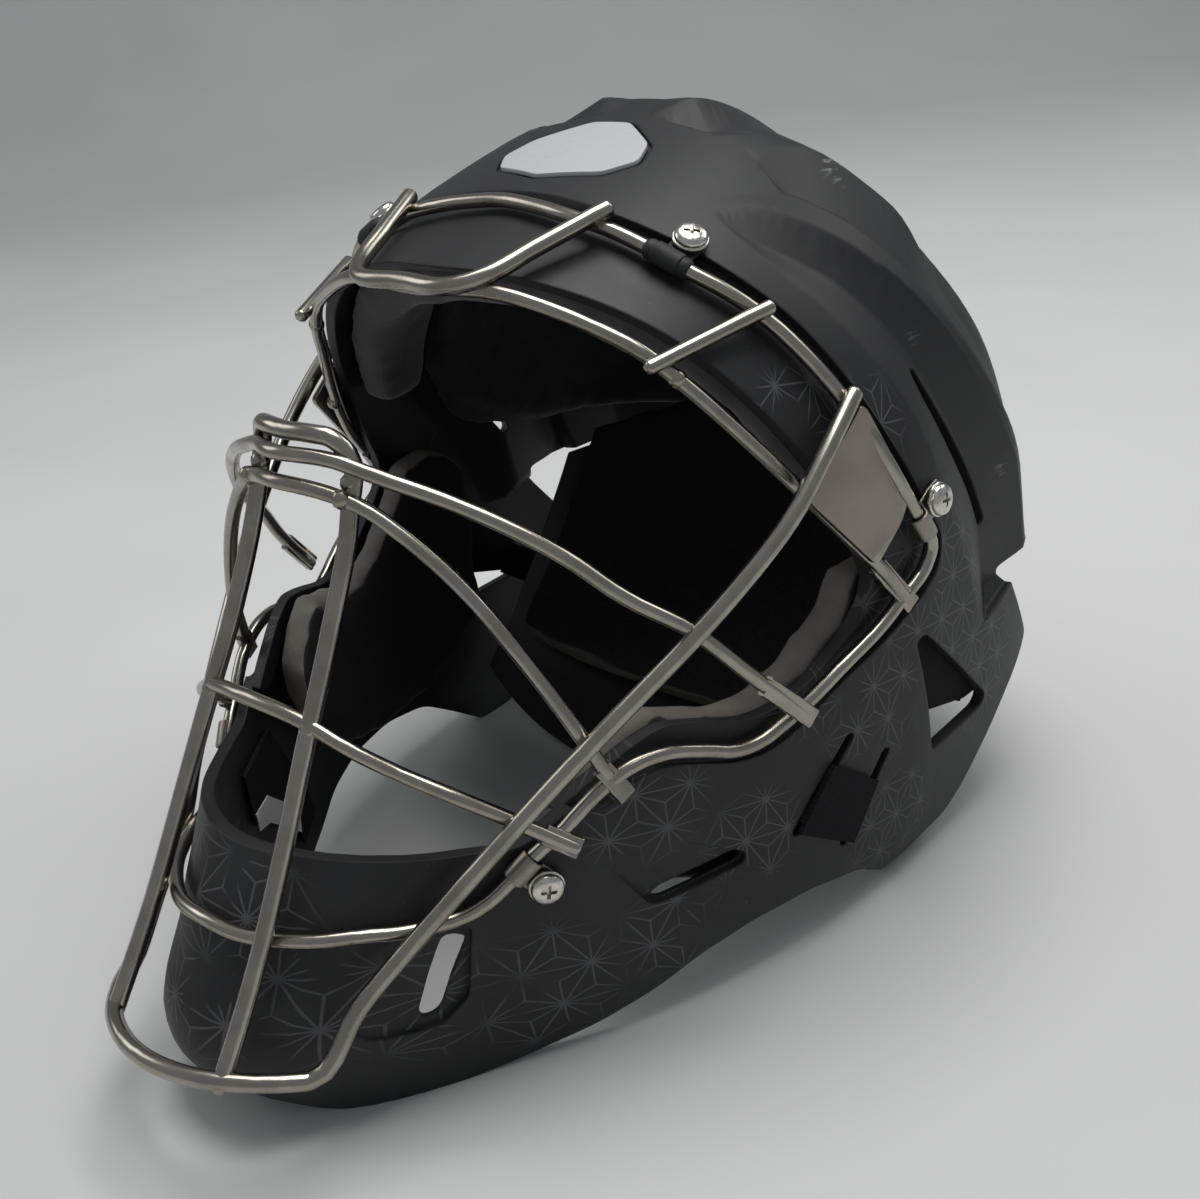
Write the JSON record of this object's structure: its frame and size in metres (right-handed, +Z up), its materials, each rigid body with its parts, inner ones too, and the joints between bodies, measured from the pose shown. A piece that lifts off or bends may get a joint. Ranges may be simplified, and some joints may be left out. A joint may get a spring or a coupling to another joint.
{
  "type": "catcher helmet",
  "caption": "Moulded catcher's helmet with a welded steel wire face cage, inner foam pads, vented side panels and a separate back plate behind the neck.",
  "frame": {"origin": "on the table, under the middle of the helmet's outline", "axes": "+Z up from the table, -Y the way the face looks, +X the wearer's left"},
  "size_m": [0.2548, 0.3642, 0.2557],
  "materials": {
    "shell": "fine matte charcoal moulding with thin pale leaf-lattice line panels",
    "back_plate": "fine matte charcoal moulding",
    "cage": "smoked nickel satin plate over steel wire",
    "badge": "pale gloss plastic, blank",
    "brow_pad": "dark plum knit over foam",
    "cheek_foam": "cut closed-cell foam, grey-brown",
    "lining": "black brushed fabric over foam",
    "webbing": "black woven webbing",
    "care_label": "white printed satin, left blank",
    "rubber_clip": "soft black moulding",
    "steel_clip": "satin pressed steel",
    "screw": "bright plated cross-head"
  },
  "bodies": {
    "root": {"shell": "shell", "back_plate": "back_plate", "cage": "cage", "forehead_badge": "badge", "brow_pad": "brow_pad", "cheek_pad_left": "cheek_foam", "cheek_pad_right": "cheek_foam", "crown_pad": "lining", "back_pad": "lining", "strap_tab_left": "webbing", "strap_tab_right": "webbing", "rear_strap_left": "webbing", "rear_strap_right": "webbing", "inner_strap_left": "webbing", "inner_strap_right": "webbing", "care_label": "care_label", "clip_top_left": "rubber_clip", "clip_top_right": "rubber_clip", "clip_side_left": "steel_clip", "clip_side_right": "steel_clip", "clip_lower_left": "steel_clip", "clip_lower_right": "steel_clip", "screw_top_left": "screw", "screw_top_right": "screw", "screw_side_left": "screw", "screw_side_right": "screw", "screw_lower_left": "screw", "screw_lower_right": "screw"}
  },
  "joints": []
}
